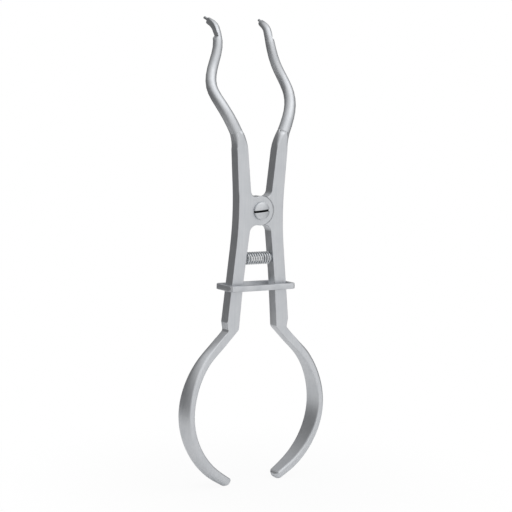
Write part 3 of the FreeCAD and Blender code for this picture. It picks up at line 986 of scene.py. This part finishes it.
@dataclass
class Studio:
    """Pale floor, soft light and the photograph's camera.

    Attributes:
        yaw: How far the camera stands to the object's left, in degrees.
        rise: How far it looks down, in degrees.
        roll: How far it is rolled, in degrees.
        distance: From the pivot's middle to the camera.
        scale: Pixels per millimetre at that distance, in a frame of 512 pixels.
        pivot_x: Column of the pivot's middle.
        pivot_y: Row of the pivot's middle.
        pivot_depth: Depth of the pivot's middle behind the front faces.
        frame_size: Width of the photograph in pixels.
        floor_size: Side of the sheet of paper that it stands on.
        shadow_reach: How far round the object the paper shows its shadow.
        glow_near: Share of plain white in the paper's look next to the object.
        paper_mirrored: How much of that white the steel mirrors.
        backdrop_mirrored: How much of the white backdrop the steel mirrors.
        wall: Direction of the lit wall of the studio.
        wall_fade: Cosine from that direction at which its light ends.
        wall_level: Brightness of its middle.
        ends_from: Height in the room, as the sine of the angle, from which the ends are lit.
        ends_level: Brightness straight above and straight below.
        lamp_place: Where the soft overhead lamp stands.
        lamp_size: Length of its side.
        lamp_power: Its power in watts.
        lamp_aim: The point that it faces.
    """

    yaw: float = 33.58
    rise: float = 6.61
    roll: float = 1.58
    distance: float = 571.3 * MM
    scale: float = 2.74
    pivot_x: float = 257.91
    pivot_y: float = 210.35
    pivot_depth: float = 2.2 * MM
    frame_size: float = 512.0
    floor_size: float = 0.34
    shadow_reach: float = 0.05
    glow_near: float = 0.85
    paper_mirrored: float = 0.25
    backdrop_mirrored: float = 0.17
    wall: tuple[float, float, float] = (0.2, -0.85, 0.25)
    wall_fade: float = 0.0
    wall_level: float = 0.85
    ends_from: float = 0.25
    ends_level: float = 0.75
    lamp_place: tuple[float, float, float] = (0.35, -0.35, 0.7)
    lamp_size: float = 0.6
    lamp_power: float = 0.3
    lamp_aim: tuple[float, float, float] = (0.0, 0.0, -0.02)

    def add_camera(self) -> None:
        """Places the camera so that the pivot falls on its pixel of the photograph."""
        yaw, rise, roll = (math.radians(angle) for angle in (self.yaw, self.rise, self.roll))
        back = Vector(
            (-math.sin(yaw) * math.cos(rise), -math.cos(yaw) * math.cos(rise), math.sin(rise))
        )
        level = Vector((math.cos(yaw), -math.sin(yaw), 0.0))
        upward = back.cross(level)
        right = level * math.cos(roll) + upward * math.sin(roll)
        top = upward * math.cos(roll) - level * math.sin(roll)
        middle = self.frame_size / 2.0
        aside = (self.pivot_x - middle) / self.scale * MM
        below = (self.pivot_y - middle) / self.scale * MM
        place = Vector((0.0, self.pivot_depth, 0.0)) + back * self.distance - right * aside + top * below
        data = bpy.data.cameras.new("photo_camera")
        data.sensor_fit = "HORIZONTAL"
        data.sensor_width = 36.0
        data.lens = self.scale * self.distance / MM * data.sensor_width / self.frame_size
        data.clip_start = 0.01
        data.clip_end = 20.0
        camera = bpy.data.objects.new("photo_camera", data)
        turn = Matrix((right, top, back)).transposed().to_4x4()
        camera.matrix_world = Matrix.Translation(place) @ turn
        bpy.context.scene.collection.objects.link(camera)
        bpy.context.scene.camera = camera

    def whiteness(self, tree: bpy.types.NodeTree, mirrored: float) -> bpy.types.NodeSocket:
        """Share of plain white that a ray sees: all of it from the camera, and part of it in the steel.

        Args:
            tree: The node tree that gets the nodes.
            mirrored: Share that a mirrored or refracted ray sees.

        Returns:
            The socket that carries the share.
        """
        rays = add_node(tree, "ShaderNodeLightPath")
        in_steel = add_node(
            tree,
            "ShaderNodeMath",
            {0: rays.outputs["Is Glossy Ray"], 1: rays.outputs["Is Transmission Ray"]},
            operation="MAXIMUM",
        )
        seen = add_node(
            tree,
            "ShaderNodeMath",
            {0: in_steel.outputs[0], 1: mirrored, 2: rays.outputs["Is Camera Ray"]},
            operation="MULTIPLY_ADD",
        )
        return seen.outputs[0]

    def add_floor(self) -> None:
        """Lays a sheet of white paper that looks white to the camera and keeps the object's shadow."""
        deselect_all()
        lowest = CAD_BOX[0][2]
        bpy.ops.mesh.primitive_plane_add(size=self.floor_size, location=(0.0, 0.0, lowest - 0.2 * MM))
        floor = bpy.context.object
        floor.name = "floor"
        apply_place(floor)
        material = bpy.data.materials.new("white_paper")
        tree = new_tree(material)
        place = add_node(tree, "ShaderNodeTexCoord").outputs["Object"]
        away = add_node(tree, "ShaderNodeVectorMath", {0: place}, operation="LENGTH")
        glow_share = add_node(
            tree,
            "ShaderNodeMapRange",
            {
                "Value": away.outputs["Value"],
                "From Min": self.shadow_reach,
                "From Max": 3.0 * self.shadow_reach,
                "To Min": self.glow_near,
                "To Max": 1.0,
            },
            interpolation_type="SMOOTHSTEP",
        )
        share = add_node(
            tree,
            "ShaderNodeMath",
            {0: self.whiteness(tree, self.paper_mirrored), 1: glow_share.outputs[0]},
            operation="MULTIPLY",
        )
        paper = add_node(tree, "ShaderNodeBsdfDiffuse", {"Color": linear("#f6f6f6")})
        glow = add_node(tree, "ShaderNodeEmission", {"Color": linear("#ffffff"), "Strength": 1.0})
        both = add_node(
            tree,
            "ShaderNodeMixShader",
            {0: share.outputs[0], 1: paper.outputs[0], 2: glow.outputs[0]},
        )
        add_node(tree, "ShaderNodeOutputMaterial", {"Surface": both.outputs[0]})
        floor.data.materials.append(material)

    def add_surroundings(self) -> None:
        """Makes a room with a lit wall in front and soft light from straight above and below."""
        world = bpy.data.worlds.new("studio")
        bpy.context.scene.world = world
        world.use_nodes = True
        tree = world.node_tree
        tree.nodes.clear()
        direction = add_node(tree, "ShaderNodeTexCoord").outputs["Generated"]
        toward_wall = add_node(
            tree,
            "ShaderNodeVectorMath",
            {0: direction, 1: Vector(self.wall).normalized()},
            operation="DOT_PRODUCT",
        )
        wall = add_node(
            tree,
            "ShaderNodeMapRange",
            {
                "Value": toward_wall.outputs["Value"],
                "From Min": self.wall_fade,
                "From Max": 1.0,
                "To Min": 0.0,
                "To Max": self.wall_level,
            },
            interpolation_type="SMOOTHSTEP",
        )
        parts = add_node(tree, "ShaderNodeSeparateXYZ", {0: direction})
        height = add_node(tree, "ShaderNodeMath", {0: parts.outputs["Z"]}, operation="ABSOLUTE")
        ends = add_node(
            tree,
            "ShaderNodeMapRange",
            {
                "Value": height.outputs[0],
                "From Min": self.ends_from,
                "From Max": 1.0,
                "To Min": 0.0,
                "To Max": self.ends_level,
            },
            interpolation_type="SMOOTHSTEP",
        )
        total = add_node(tree, "ShaderNodeMath", {0: wall.outputs[0], 1: ends.outputs[0]}, operation="ADD")
        room = add_node(
            tree,
            "ShaderNodeBackground",
            {"Color": linear("#ffffff"), "Strength": total.outputs[0]},
        )
        white = add_node(tree, "ShaderNodeBackground", {"Color": linear("#ffffff"), "Strength": 1.0})
        both = add_node(
            tree,
            "ShaderNodeMixShader",
            {0: self.whiteness(tree, self.backdrop_mirrored), 1: room.outputs[0], 2: white.outputs[0]},
        )
        add_node(tree, "ShaderNodeOutputWorld", {"Surface": both.outputs[0]})

    def add_lamp(self) -> None:
        """Adds the square soft lamp over the instrument."""
        data = bpy.data.lights.new("overhead", "AREA")
        data.shape = "SQUARE"
        data.size = self.lamp_size
        data.energy = self.lamp_power
        lamp = bpy.data.objects.new("overhead", data)
        lamp.location = self.lamp_place
        aim = Vector(self.lamp_aim) - Vector(self.lamp_place)
        lamp.rotation_euler = aim.to_track_quat("-Z", "Y").to_euler()
        bpy.context.scene.collection.objects.link(lamp)

    def build(self) -> None:
        """Sets up the floor, the surroundings, the lamp and the camera."""
        self.add_floor()
        self.add_surroundings()
        self.add_lamp()
        self.add_camera()
        bpy.context.scene.view_settings.view_transform = "Standard"
        log.info("studio: floor, surroundings, lamp and camera")


@dataclass
class Forceps:
    """The whole instrument."""

    pieces: list[bpy.types.Object] = field(default_factory=list)

    def build(self) -> None:
        """Builds each sub-assembly in the order in which the instrument is put together."""
        for side in (Side.RIGHT, Side.LEFT):
            self.pieces.append(Lever(side).build())
        self.pieces.append(PivotScrew().build())
        for side in (Side.LEFT, Side.RIGHT):
            self.pieces.append(SpringPin(side).build())
        self.pieces.append(Spring().build())
        self.pieces.append(LockingRing().build())
        log.info("forceps: %d pieces", len(self.pieces))


def main() -> None:
    """Builds the forceps and the studio."""
    Forceps().build()
    Studio().build()


if __name__ == "__main__":
    main()
